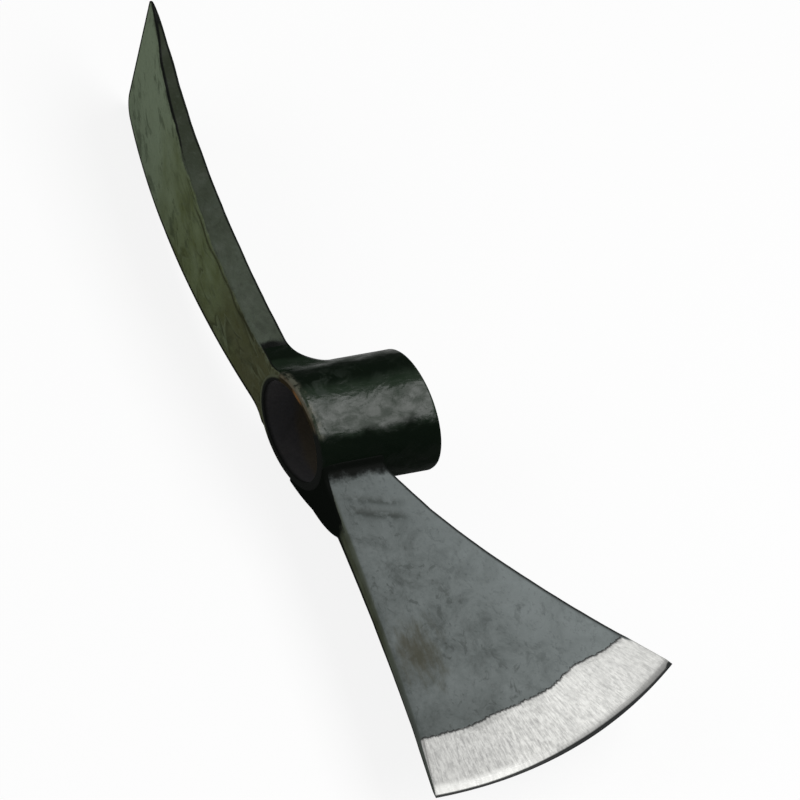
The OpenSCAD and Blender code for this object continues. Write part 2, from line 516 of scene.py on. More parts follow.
@dataclass(frozen=True)
class EyeFinish:
    """Glossy black coat over wrinkled forge scale, rusty in the bore, worn at the rim, with painted
    highlight on the rim's edge and a painted green highlight tint on the upper side.
    """

    black: Colour = (0.0035, 0.006, 0.0038)
    worn: Colour = (0.0045, 0.007, 0.0045)
    dust: Colour = (0.032, 0.041, 0.033)
    # Green tint laid where the tube shines: painted highlight.
    painted_highlight_tint: Colour = (0.009, 0.019, 0.009)
    bore: Colour = (0.044, 0.044, 0.047)
    bore_pale: Colour = (0.056, 0.053, 0.053)
    bore_deep: Colour = (0.058, 0.050, 0.038)
    rust: Colour = (0.150, 0.078, 0.032)
    # Chips at the mouth's edge: wear and painted highlight.
    chip_and_painted_highlight: Colour = (0.088, 0.090, 0.068)
    lip: Colour = (0.020, 0.016, 0.009)
    rim: Colour = (0.010, 0.011, 0.010)
    # Pale outer edge of the mouth: wear and painted highlight.
    rim_wear_and_painted_highlight: Colour = (0.090, 0.080, 0.056)
    olive: Colour = (0.062, 0.069, 0.043)
    rough: float = 0.6
    coat_rough: float = 0.26
    coat_ior: float = 1.5
    mouth_rise: float = 0.1835
    patches: Pattern = Pattern(70.0, 5.0, 0.6)
    shine_edge: Pattern = Pattern(75.0, 4.0)
    rim_wear: Pattern = Pattern(260.0)
    scuffs: Pattern = Pattern(170.0, 6.0, 0.66, 0.6)
    chips: Pattern = Pattern(330.0, 4.0, 0.65)
    mottle: Pattern = Pattern(230.0, 4.0, 0.6, 0.4, (1.0, 0.7, 1.0))
    grain: Pattern = Pattern(900.0)
    wrinkles: Pattern = Pattern(160.0, 3.0, 0.55, 0.5, (1.0, 0.6, 1.0))
    swells: Pattern = Pattern(85.0, 3.0, 0.5, 0.5, (1.0, 0.7, 1.0))
    bore_line: Spot = Spot((0.0, 0.0, 0.0), (1.0, 1.0e6, 1.0))
    adze_side: Spot = Spot((-25.0, -27.0, 0.0), (26.0, 40.0, 23.0))
    upper_side: Spot = Spot((-2.0, -24.0, 21.0), (17.0, 9.0, 11.0))
    rust_streak: Spot = Spot((-1.4, -24.6, 21.2), (4.8, 4.0, 1.3))
    scuffed: Spot = Spot((9.0, -20.0, 22.0), (20.0, 26.0, 18.0))

    def polished(self, r: Recipe) -> Field:
        """Share of shine round the tube, which sets the gloss and the painted green highlight tint: full on
        the upper side, little below it and towards the adze.

        Args:
            r: The recipe.

        Returns:
            The share.
        """
        place = r.axis("X") + r.drift(self.shine_edge, 9.0)
        upper = place.step(16.5, 13.0, 1.0, 0.06) * place.step(-6.0, 0.0, 1.0, 0.06)
        crest = place.step(-12.5, -16.5, 0.55) * place.step(-23.5, -20.5)
        return upper.most(crest)

    def mouth(self, r: Recipe, patch: Field) -> Field:
        """Colour of the mouth: a dark lip, olive towards the adze, rusty on the upper side and pale at the
        outer edge there, partly wear and partly a painted highlight.

        Args:
            r: The recipe.
            patch: The patches of the whole eye.

        Returns:
            The colour.
        """
        radius = r.distance(self.bore_line) + (patch - 0.5) * 1.6
        left = r.distance(self.adze_side).step(1.05, 0.85)
        upper = r.distance(self.upper_side).step(1.05, 0.75)
        # The pale outer edge on the upper side is partly wear and partly a painted highlight where the
        # rounded edge catches the light.
        worn = radius.step(22.0, 22.7) * r.noise(self.rim_wear).step(0.30, 0.55, 1.0, 0.35)
        ring = r.over(self.rim, (self.olive, left), (r.over(self.lip, (self.rim_wear_and_painted_highlight, worn)), upper))
        rusty = (r.distance(self.rust_streak) + patch).step(1.6, 0.9, 0.85)
        return r.over(self.rim, (self.lip, upper), (ring, radius.step(20.9, 21.9)), (self.rust, rusty))

    def material(self) -> Material:
        """Builds the material; it reads the layers rim and bore."""
        r = Recipe("black_eye")
        patch, shine = r.noise(self.patches), self.polished(r)
        inside, edge = r.layer("bore"), r.layer("rim")
        x, y, z = (r.axis(name) for name in "XYZ")
        scuff = r.noise(self.scuffs).step(0.50, 0.66) * z.step(16.0, 20.0)
        scuff = scuff * r.distance(self.scuffed).step(1.2, 0.3, 0.9, 0.15)
        # Pale chips beside the mouth on the upper side: worn chips that also stand in for the highlight
        # over the rounded edge, partly a painted highlight.
        chipped_and_highlit = (y - x * self.mouth_rise).step(-20.3, -22.8) * z.step(17.0, 19.5) * x.step(-17.0, -11.0)
        chipped_and_highlit = chipped_and_highlit * r.noise(self.chips).step(0.42, 0.58, 0.9, 0.1)
        deep = (y + (patch - 0.5) * 5.0).step(-16.5, -12.5)
        wall = r.over(r.shades(patch, (0.3, self.bore), (0.8, self.bore_pale)), (self.bore_deep, deep))
        # The green laid by the share of shine is a painted highlight tint.
        colour = r.over(
            r.shades(patch, (0.35, self.black), (0.75, self.worn)), (self.painted_highlight_tint, shine), (self.dust, scuff),
            (self.chip_and_painted_highlight, chipped_and_highlit), (wall, inside), (self.mouth(r, patch), edge))
        mottle = r.noise(self.mottle).step(0.32, 0.66, 0.86, 0.38)
        gloss = (1.0 - inside.most(edge).most(scuff * 0.4)) * mottle * shine
        swell, wrinkle, grain = (r.noise(pattern) for pattern in (self.swells, self.wrinkles, self.grain))
        normal = r.relief((swell, 0.8), (wrinkle, 0.40), (grain, 0.02))
        return r.finish(
            Base_Color=colour, Roughness=self.rough, Normal=normal, Specular_IOR_Level=0.0,
            Coat_Normal=normal, Coat_Weight=gloss, Coat_Roughness=self.coat_rough, Coat_IOR=self.coat_ior)


@dataclass(frozen=True)
class ScaleFinish:
    """Blue-grey forge scale on broad faces, olive on narrow ones, with pits, smudges, and a black that
    stands for the eye's glossy coat and for painted shade.
    """

    dark: Colour = (0.070, 0.080, 0.077)
    grey: Colour = (0.130, 0.147, 0.144)
    pale: Colour = (0.165, 0.185, 0.183)
    pit: Colour = (0.022, 0.025, 0.024)
    olive_dark: Colour = (0.040, 0.044, 0.020)
    olive: Colour = (0.075, 0.086, 0.045)
    olive_pale: Colour = (0.110, 0.128, 0.078)
    # Black of the eye's coat, running onto the blades; also laid as painted shade.
    lacquer_and_painted_shade: Colour = (0.004, 0.005, 0.004)
    rough: float = 0.6
    coat_rough: float = 0.32
    coat_ior: float = 1.4
    clouds: Pattern = Pattern(70.0, 7.0, 0.72, 0.5)
    smudges: Pattern = Pattern(125.0, 5.0, 0.64, 1.1, (1.0, 1.4, 1.0))
    fine: Pattern = Pattern(520.0, 4.0, 0.7)
    nick_zones: Pattern = Pattern(60.0, 2.0)
    nicks: Pattern = Pattern(1.0, 6.0, 0.66, 0.3, (170.0, 240.0, 240.0))
    olive_clouds: Pattern = Pattern(85.0, 4.0, 0.55, 0.3)
    ragged: Pattern = Pattern(190.0, 5.0, 0.65)

    def face(self, r: Recipe) -> Field:
        """Grey of a broad face, clouded and smudged."""
        colour = r.shades(r.noise(self.clouds), (0.30, self.dark), (0.5, self.grey), (0.70, self.pale))
        return r.over(colour, (self.dark, r.noise(self.smudges).step(0.56, 0.65) * 0.75))

    def narrow(self, r: Recipe) -> Field:
        """Olive of a narrow face, clouded."""
        stops = (0.28, self.olive_dark), (0.5, self.olive), (0.74, self.olive_pale)
        return r.shades(r.noise(self.olive_clouds), *stops)

    def grained(self, r: Recipe) -> tuple[Coat, Coat]:
        """Coats of fine dark and pale grain."""
        fine = r.noise(self.fine)
        return (self.pit, fine.step(0.48, 0.22, 0.36)), (self.pale, fine.step(0.52, 0.80, 0.42))

    def nicked(self, r: Recipe, share: float) -> Coat:
        """Coat of small dark nicks, long along the blade."""
        where = r.noise(self.nick_zones).step(0.42, 0.60)
        return self.pit, where * r.noise(self.nicks).step(0.56, 0.72) * share

    def blacked(self, r: Recipe) -> Field:
        """Share of black, the eye's coat near the eye and painted shade over the axe's neck: the layer
        black with a ragged border.
        """
        return (r.layer("black") + r.drift(self.ragged, 1.0)).step(0.25, 0.75)


@dataclass(frozen=True)
class AdzeFinish(ScaleFinish):
    """Scale of the adze, whose broad outer and inner faces are olive and whose sides are grey."""

    dark: Colour = (0.040, 0.048, 0.035)
    grey: Colour = (0.056, 0.068, 0.050)
    pale: Colour = (0.072, 0.088, 0.070)
    side_tip: Colour = (0.022, 0.028, 0.016)
    olive_dark: Colour = (0.058, 0.070, 0.026)
    olive: Colour = (0.082, 0.101, 0.051)
    olive_pale: Colour = (0.104, 0.128, 0.072)
    olive_root: Colour = (0.047, 0.047, 0.024)
    olive_tip: Colour = (0.138, 0.173, 0.120)
    ridge: Colour = (0.100, 0.120, 0.080)
    groove: Colour = (0.022, 0.024, 0.012)
    grain: Pattern = Pattern(700.0)
    shade_edge: Pattern = Pattern(38.0, 4.0)
    face_edge: Pattern = Pattern(120.0, 4.0)
    smears: Pattern = Pattern(1.0, 6.0, 0.66, 0.4, (80.0, 110.0, 110.0))
    folds: Pattern = Pattern(62.0, 2.0, 0.5, 0.5, (1.0, 1.5, 1.5))
    fold_zones: Pattern = Pattern(48.0, 2.0)
    forged: Pattern = Pattern(210.0, 5.0, 0.62)

    def folded(self, r: Recipe, far: Field) -> tuple[Field, Field]:
        """Shallow folds of the forged face, in patches away from the edge.

        Args:
            r: The recipe.
            far: Wavering distance from the edge.

        Returns:
            Shares of the ridges and of the hollows.
        """
        wave = r.noise(self.folds)
        patchy = r.noise(self.fold_zones).step(0.40, 0.54) * far.step(70.0, 115.0, 1.0, 0.1)
        ridge = patchy * (wave - 0.5).size().step(0.035, 0.005)
        return ridge, wave.step(0.50, 0.55) * wave.step(0.64, 0.57) * patchy

    def material(self) -> Material:
        """Builds the material; it reads the layers over, black, tip, crease and edging, and the layer of
        painted shade along the ridge.
        """
        r = Recipe("adze_scale")
        grain = r.noise(self.grain)
        far = r.layer("tip") + r.drift(self.shade_edge, 60.0)
        over = r.layer("over") + r.drift(self.face_edge, 3.6)
        fold, hollow = self.folded(r, far)
        broad = r.over(
            self.narrow(r), (self.olive_root, far.step(95.0, 150.0, 0.85)),
            (self.olive_tip, far.step(92.0, 30.0, 0.85)),
            (self.side_tip, r.noise(self.smears).step(0.54, 0.66, 0.5)),
            self.nicked(r, 0.2), (self.groove, hollow * 0.55), (self.ridge, fold * 0.30))
        side = r.over(self.face(r), (self.side_tip, far.step(130.0, 55.0, 0.85)))
        # A lighter line along the ridge between the outer face and the side: partly wear, partly a painted
        # highlight on the ridge.
        worn = over.step(2.2, 0.9) * over.step(-0.6, 0.2) * grain.step(0.4, 0.7, 0.5)
        crease = r.layer("crease") * grain.step(0.25, 0.5, 0.9, 0.45)
        # Painted shade on the side face: a dark band along the ridge with the outer face, and the whole
        # side near the tip.
        burnt = (r.layer("burnt") + (grain - 0.5) * 0.6).step(0.35, 0.7)
        # Dark lines along the edges and the corners of the outline.
        edging = r.layer("edging").step(0.2, 0.8, 0.9)
        black = self.blacked(r)
        colour = r.over(
            side, (broad, over.step(-0.6, 0.4)), *self.grained(r), (self.ridge, worn),
            (self.groove, crease), (self.lacquer_and_painted_shade, burnt), (self.lacquer_and_painted_shade, edging), (self.lacquer_and_painted_shade, black))
        thin = over.step(0.4, -0.6, 0.25) * grain.step(0.3, 0.7, 1.0, 0.5)
        normal = r.relief((r.noise(self.forged) + fold * 0.3, 0.22), (grain, 0.05))
        return r.finish(
            Base_Color=colour, Roughness=self.rough, Normal=normal, Specular_IOR_Level=0.0,
            Coat_Weight=thin.most(black * 0.12), Coat_Roughness=self.coat_rough, Coat_IOR=self.coat_ior)


@dataclass(frozen=True)
class AxeFinish(ScaleFinish):
    """Scale of the axe with a bright ground band along its edge."""

    olive_dark: Colour = (0.028, 0.031, 0.018)
    olive: Colour = (0.048, 0.055, 0.036)
    olive_pale: Colour = (0.072, 0.083, 0.060)
    # Paler grey towards the heel: painted glare.
    inner: Colour = (0.212, 0.240, 0.240)
    steel: Colour = (0.50, 0.50, 0.48)
    steel_dark: Colour = (0.29, 0.29, 0.282)
    steel_pale: Colour = (0.58, 0.58, 0.56)
    # Grey on the hone from the middle of the edge to the heel: painted shade.
    painted_bevel_shade: Colour = (0.11, 0.11, 0.108)
    burr: Colour = (0.020, 0.022, 0.022)
    stain: Colour = (0.056, 0.055, 0.038)
    # Dark smear in the hammer dents: smudge and painted shade.
    dent_smudge_and_painted_shade: Colour = (0.056, 0.064, 0.060)
    metal: float = 0.4
    grain: Pattern = Pattern(800.0)
    shade_edge: Pattern = Pattern(45.0, 4.0)
    dent_smears: Pattern = Pattern(200.0, 4.0, 0.6)
    stain_streaks: Pattern = Pattern(190.0, 5.0, 0.65, 0.0, (0.45, 1.3, 1.0))
    jags: Pattern = Pattern(1.0, 4.0, 0.7)
    scratches: Pattern = Pattern(1.0, 4.0, 0.68, 0.4)
    streaks: Pattern = Pattern(1.0, 4.0, 0.7, 0.8)
    specks: Pattern = Pattern(560.0, 3.0, 0.6)
    blotches: Pattern = Pattern(130.0, 4.0, 0.6)
    forged: Pattern = Pattern(230.0, 5.0, 0.62)
    stained: Spot = Spot((103.0, -7.5, 4.0), (12.5, 9.0, 9.0))

    def scaled(self, r: Recipe, share: Field) -> Field:
        """Colour of the forged face: paler towards the heel and darker towards the toe and the neck, a
        painted glare, with dents darkened partly by painted shade, and a stain.

        Args:
            r: The recipe.
            share: Wavering distance along the edge from the toe.

        Returns:
            The colour.
        """
        x, grind = r.axis("X"), r.layer("grind")
        low = grind.step(-20.0, -6.0) * share.step(75.0, 50.0, 0.32)
        # The hammer dents are darkened: partly smudge, partly painted shade of the dents.
        dented = r.layer("dent") * r.noise(self.dent_smears).step(0.34, 0.52)
        stained = (r.distance(self.stained) + r.noise(self.stain_streaks) * 2.6).step(2.7, 1.4, 0.9)
        return r.over(
            # Paler towards the heel, darker towards the toe and the neck: a painted glare across the face.
            self.face(r), (self.inner, share.step(60.0, 135.0, 0.55)),
            (self.dark, share.step(42.0, 18.0, 0.35)), (self.dark, x.step(62.0, 44.0, 0.26)),
            (self.dark, low), (self.dent_smudge_and_painted_shade, dented), self.nicked(r, 0.40), *self.grained(r),
            (self.stain, stained))

    def bright(self, r: Recipe, share: Field, scratch: Field, line: Field, keen: Field) -> Field:
        """Colour of the ground band, with painted shade and a painted highlight on the hone.

        Args:
            r: The recipe.
            share: Wavering distance along the edge from the toe.
            scratch: The grinding scratches.
            line, keen: Shares of the dark lines at the band's border and at the edge.

        Returns:
            The colour.
        """
        along, away = r.layer("along"), r.layer("away")
        blotch = r.noise(self.blotches).step(0.5, 0.35, 0.14)
        streak = r.noise(self.streaks, along * 0.9, away * 0.30).step(0.50, 0.32, 0.55)
        return r.over(
            r.shades(scratch, (0.32, self.steel_dark), (0.57, self.steel)),
            (self.steel_dark, share.step(80.0, 25.0, 0.45)),
            (self.steel_pale, share.step(65.0, 90.0, 0.42)),
            (self.steel_dark, share.step(100.0, 125.0, 0.24)), (self.steel_dark, blotch),
            (self.steel_dark, streak * share.step(60.0, 90.0)),
            # On the hone: a pale strip at the toe, honed steel and painted highlight, and a soft grey from
            # the middle of the edge to the heel, painted shade.
            (self.steel_pale, along.step(55.0, 25.0) * away.step(5.0, 3.0) * 0.8), (self.burr, line),
            (self.painted_bevel_shade, away.step(4.2, 0.7) * along.step(38.0, 64.0, 0.72)), (self.burr, keen))

    def material(self) -> Material:
        """Builds the material; it reads the layers olive, black, rim, dent, grind, along and away."""
        r = Recipe("axe_steel")
        grain, black = r.noise(self.grain), self.blacked(r)
        flank, rim = r.layer("olive"), r.layer("rim")
        along, away = r.layer("along"), r.layer("away")
        share = along + r.noise(self.shade_edge) * 40.0
        jag = r.noise(self.jags, along * 0.55, away * 0.10)
        border = r.layer("grind") + (jag - 0.5) * 3.0
        ground = border.step(-0.15, 0.25) * rim.most(flank).step(0.6, 0.2)
        line = border.step(1.3, 0.3) * jag.step(0.30, 0.50, 0.95, 0.55)
        shift = along.step(15.0, 60.0, -0.6) + along.step(72.0, 104.0, 0.5)
        keen = (away + shift + along.step(106.5, 109.0, -0.7)).step(0.95, 0.40, 0.95)
        scratch = r.between(r.noise(self.scratches, along * 1.25, away * 0.24), r.noise(self.specks), 0.25)
        side = r.over(self.narrow(r), (self.dark, r.axis("X").step(85.0, 130.0, 0.6)))
        # Black: the eye's coat near the eye and painted shade over the neck's underside. Rim: painted shade
        # on the lower half of the outer flank, which faces down, and a dark line along the inner edge.
        colour = r.over(
            self.scaled(r, share), (side, flank), (self.lacquer_and_painted_shade, black), (self.lacquer_and_painted_shade, rim * 0.9),
            (self.bright(r, share, scratch, line, keen), ground))
        clean = ground * (1.0 - line.most(keen))
        open_face = 1.0 - flank
        thin = open_face * grain.step(0.3, 0.7, 0.25, 0.12) * (1.0 - ground.most(black))
        height = r.between(r.noise(self.forged), scratch * 0.35, ground)
        return r.finish(
            Base_Color=colour, Metallic=clean * self.metal, Specular_IOR_Level=0.0,
            Roughness=r.between(self.rough, scratch.step(0.3, 0.7, 0.32, 0.46), ground),
            Normal=r.relief((height, 0.20), (r.between(grain, 0.5, ground), 0.05)),
            Coat_Weight=thin.most(open_face * black * 0.06), Coat_Roughness=self.coat_rough,
            Coat_IOR=self.coat_ior)


@dataclass(frozen=True)
class Eye:
    """The round tube that takes the handle, with both ends sloping; sizes in millimetres."""

    bore_r: float = 20.0
    wall: float = 4.0
    length: float = 48.5
    mouth_slope: float = 10.4
    end_slope: float = 9.4
    mouth_round: float = 1.7
    bore_round: float = 0.4
    end_round: float = 0.9
    swell: float = 0.175
    wave: Wave = Wave(13.0, 0.16, 5)
    wave_run: float = 30.0
    turn_points: int = 7
    run_points: int = 72
    bore_points: int = 30
    flat_points: int = 5
    round_points: int = 240
    sharp: float = 50.0

    @property
    def radius(self) -> float:
        """Outside radius."""
        return self.bore_r + self.wall

    def mouth_y(self, x: Array) -> Array:
        """Height of the open mouth's plane along the bore at x."""
        return -self.length / 2 + x * math.tan(math.radians(self.mouth_slope))

    def end_y(self, x: Array) -> Array:
        """Height of the far end's plane along the bore at x."""
        return self.length / 2 + x * math.tan(math.radians(self.end_slope))

    def side_x(self, z: Array) -> Array:
        """Distance of the round outside from the bore's upright plane at height z."""
        return np.sqrt(np.maximum(0, self.radius ** 2 - z * z))

    def fillet(self, x: Array, half: float, size: float) -> Array:
        """Rise of a fillet between the round outside and a flat face of a blade.

        Args:
            x: Distance from the bore's axis along the blade.
            half: Distance of the flat face from the blade's middle plane.
            size: The fillet's radius.

        Returns:
            Rise above the flat face: a quarter round, cut off where it touches the tube.
        """
        far = self.radius + size
        end = math.sqrt(far ** 2 - (half + size) ** 2)
        return round_in(size, np.maximum(x, end * self.radius / far) - end + size)

    def profile(self) -> Array:
        """Closed outline of the wall's section, from the mouth round the outside and back up the bore.

        Returns:
            Four rows: radius, share of the way from mouth to end, offset along the bore, and the
            share by which each point belongs to the rim at the mouth.
        """
        r, i, m, b, e = self.radius, self.bore_r, self.mouth_round, self.bore_round, self.end_round
        turn = np.linspace(0, QUARTER, self.turn_points)
        run = np.linspace(0, 1, self.run_points)[1:-1]
        bore = np.linspace(1, 0, self.bore_points)[1:-1]
        end = np.linspace(r - e, i + e, self.flat_points)[1:-1]
        mouth = np.linspace(i + b, r - m, self.flat_points)[1:-1]
        sin, cos = np.sin(turn), np.cos(turn)
        return joined((
            (r - m + m * sin, 0, m - m * cos, ease(1.0, 0.5, turn)),
            (r, run, mix(m, -e, run), 0),
            (r - e + e * cos, 1, -e + e * sin, 0),
            (end, 1, 0, 0),
            (i + e - e * sin, 1, -e + e * cos, 0),
            (i, bore, mix(b, -e, bore), 0),
            (i + b - b * cos, 0, b - b * sin, 1),
            (mouth, 0, 0, 1)))

    def grid(self) -> tuple[Array, dict[str, Array]]:
        """Carries the wall's section round the bore.

        A point at angle a and radius r has X = r cos a and Z = r sin a, and lies along the bore
        between the two sloping planes by its share. Shallow waves sink the outside.

        Returns:
            The grid of points and the layers rim and bore.
        """
        radius, share, offset, rim = self.profile()
        angle = np.linspace(0, math.tau, self.round_points, endpoint=False).reshape(-1, 1)
        wide, high = np.cos(angle), np.sin(angle)
        outside = ease(self.radius - 0.6, self.radius - 0.1, radius) * ease(-0.42, -0.05, wide)
        waves = self.wave.sink(wide * self.radius, high * self.radius + share * self.wave_run)
        r = radius - outside * (self.swell * bow(share) + waves)
        x, z = r * wide, r * high
        y = mix(self.mouth_y(x), self.end_y(x), share) + offset
        bore = ease(self.bore_r + 0.6, self.bore_r + 0.1, radius)
        return np.stack([x, y, z], -1), {"rim": rim, "bore": bore}

    def build(self, material: Material) -> None:
        """Makes and dresses the tube."""
        piece = make_piece("eye_tube", *self.grid(), Wrap.RING, self.sharp)
        dress(piece, material, "eye_barrel")


@dataclass(frozen=True)
class Adze:
    """The arched adze with its bit; sizes in millimetres."""

    eye: Eye
    reach: float = 182.0
    arch_r: float = 440.0
    flat: float = 2.0
    root_w: float = 30.0
    edge_w: float = 68.97
    waist: float = 1.7
    root_t: float = 12.0
    tip_t: float = 4.3
    bevel: float = 9.0
    bit_len: float = 42.0
    upper_corner: float = 2.0
    lower_corner: float = 8.0
    fillet: float = 12.5
    edge_t: float = 0.6
    bevel_ease: float = 1.7
    ridge_share: float = 0.4
    inner_wave: float = 0.8
    settle_rounds: int = 10
    ridge_r: float = 1.1
    flush: float = 0.06
    tucks: tuple[float, float] = (-1.8, -0.3)
    crease_in: float = 2.3
    crease_wave: Wave = Wave(20.0, 1.9, 15)
    face_waves: tuple[Wave, ...] = (Wave(24.0, 0.22, 11), Wave(7.0, 0.06, 12))
    side_wave: Wave = Wave(11.0, 0.16, 13)
    side_swell: Wave = Wave(26.0, 0.22, 14)
    root_rows: int = 19
    body_rows: int = 90
    bit_rows: int = 34
    ring: RingPlan = RingPlan(64, 5, 10)
    sharp: float = 42.0
    black_least: float = 0.92

    @property
    def arch_x(self) -> float:
        """Where the arch starts."""
        return -(self.eye.radius + self.flat)

    @property
    def bevel_x(self) -> float:
        """Where the bevel starts."""
        return -(self.reach - self.bevel)

    @property
    def seam_x(self) -> float:
        """Where the bit starts."""
        return -(self.reach - self.bit_len)

    def outer_y(self, x: Array) -> Array:
        """Outer face at x: the mouth's plane, then an arc tangent to it."""
        slope = math.radians(self.eye.mouth_slope)
        cx = self.arch_x - self.arch_r * math.sin(slope)
        cy = self.eye.mouth_y(self.arch_x) + self.arch_r * math.cos(slope)
        arc = cy - np.sqrt(self.arch_r ** 2 - (np.minimum(x, self.arch_x) - cx) ** 2)
        return np.where(x > self.arch_x, self.eye.mouth_y(x), arc)

    def thickness(self, x: Array) -> Array:
        """Thickness at x: falling as a square along the body, and rounding off over the bevel."""
        k = np.clip((x - self.arch_x) / (self.bevel_x - self.arch_x), 0, 1)
        rest = 1 - np.clip((x + self.reach) / (self.bevel_ease * self.bevel), 0, 1)
        return mix(self.edge_t, mix(self.root_t, self.tip_t, k * k), 1 - rest * rest)

    def half_width(self, x: Array) -> Array:
        """Half the width at x: a straight taper drawn in at the waist, with fillets at the eye."""
        k = np.maximum(0, (x - self.arch_x) / (-self.reach - self.arch_x))
        side = mix(self.root_w, self.edge_w, k) / 2 - self.waist * bow(k)
        return side + self.eye.fillet(-x, self.root_w / 2, self.fillet)

    def row_x(self, rows: Array, z: Array) -> Array:
        """A row's X at height z: from a line along the eye's round side to a straight line."""
        return mix(-rows[:, :1] - self.eye.side_x(z), rows[:, 2:], rows[:, 1:2])

    def rows(self) -> tuple[Array, Array]:
        """Rows of the blade and of the bit.

        Returns:
            For each, rows of the distance from the eye's side, the share of the way to a straight
            line, and that line's X.
        """
        lift = self.fillet * (1 - np.cos(np.linspace(0, QUARTER, self.root_rows)[1:]))
        near = np.append(self.tucks, lift)
        root = np.stack([near, 0 * near, 0 * near], -1)
        k = np.linspace(0, 1, self.body_rows)[1:]
        body = np.stack([np.full(k.size, self.fillet), k, np.full(k.size, self.seam_x)], -1)
        flat = np.linspace(self.seam_x, self.bevel_x, self.bit_rows)
        turn = np.linspace(0, QUARTER, self.bit_rows)[1:]
        line = np.append(flat, mix(self.bevel_x, -self.reach, np.sin(turn)))
        return np.vstack([root, body]), np.stack([0 * line, np.ones(line.size), line], -1)

    def grid(self, rows: Array) -> tuple[Array, dict[str, Array]]:
        """Carries the rounded section along the rows.

        Across the section Z runs from the lower to the upper side. The outer face is the arch, and the
        inner face lies one thickness behind it, lifted by a fillet near the eye. Shallow waves sink the
        outer and inner faces and the upper side.

        Args:
            rows: Rows as the method rows gives them.

        Returns:
            The grid of points and the layers over, black, tip, crease and edging, and the layer of painted
            shade along the ridge.
        """
        p = self.ring.parts()
        side = np.full((len(rows), 1), self.root_w / 2)
        for _ in range(self.settle_rounds):
            side = self.half_width(self.row_x(rows, side))
        end = np.where(rows[:, 1:2] < 1, self.reach, rows[:, 2:] + self.reach)
        top = side - round_in(self.upper_corner, end)
        low = -side + round_in(self.lower_corner, end)
        width = top - low
        r = np.minimum(self.ridge_r, self.ridge_share * self.thickness(self.row_x(rows, (top + low) / 2)))
        d = self.ring.across(width, r, r)
        z = low + d
        x = self.row_x(rows, z)
        gap = -x - self.eye.side_x(z)
        body = ease(0.0, 14.0, end) * ease(-1.0, 6.0, gap)
        wave = body * ease(0.0, 9.0, d) * sunk(self.face_waves, x, z)
        plain = self.outer_y(x)
        outer = plain + wave - self.flush * ease(3.0, 0.0, gap)
        inner = plain + self.thickness(x) + round_in(self.fillet, gap) - self.inner_wave * wave
        middle = (outer + inner) / 2
        outside, far_side, flank = p["sign"] > 0, p["second"] > 0, 1 - p["arc"]
        face = np.where(outside, outer, inner)
        toward = np.sign(face - middle)
        y = middle + p["up"] * (face - toward * r - middle) + p["arc"] * toward * r
        z = z - far_side * body * (self.side_wave.sink(x, y) + self.side_swell.sink(x, 0 * y))
        along, depth, from_top = x + self.reach, y - outer, width - d
        crease = self.crease_in + self.crease_wave.depth - self.crease_wave.sink(x, 0 * x)
        line = np.exp(-(from_top - crease) ** 2) * ease(80.0, 95.0, along) * ease(152.0, 140.0, along)
        corner = (p["arc"] > 0.05) & (p["arc"] < 0.98) & (far_side != outside)
        keen = ease(2.2, 1.0, end) * outside * p["arc"]
        low_edge = ease(3.0, 1.6, d) * outside
        high_edge = ease(1.5, 0.8, inner - y) * far_side * flank * ease(2.0, 10.0, end)
        # Painted shade on the side face: a band along the ridge with the outer face, and the whole side
        # near the tip.
        burnt = np.maximum(ease(2.3, 0.9, depth) * ease(95.0, 45.0, along), ease(18.0, 6.0, along))
        layers = {
            "over": np.where(outside & (d > width / 2), from_top - depth, 8 * p["arc"] - 4),
            "black": ease(17.0, 9.0, gap) * (1 - p["arc"] * outside),
            "tip": along,
            "crease": line * outside * p["arc"],
            "edging": np.maximum(np.maximum(corner, keen), np.maximum(low_edge, high_edge)),
            "burnt": far_side * flank * burnt,
        }
        return np.stack([x, y, z], -1), layers

    def build(self, material: Material, black: Material) -> None:
        """Makes and dresses the blade, black in its fillets, and its bit."""
        blade, bit = self.rows()
        for name, rows, node in (("adze_body", blade, "adze_blade"), ("adze_tip", bit, "adze_bit")):
            piece = make_piece(name, *self.grid(rows), Wrap.CAPPED_TUBE, self.sharp)
            dress(piece, material, node)
            if rows is blade:
                lay_second(piece, black, "black", self.black_least)


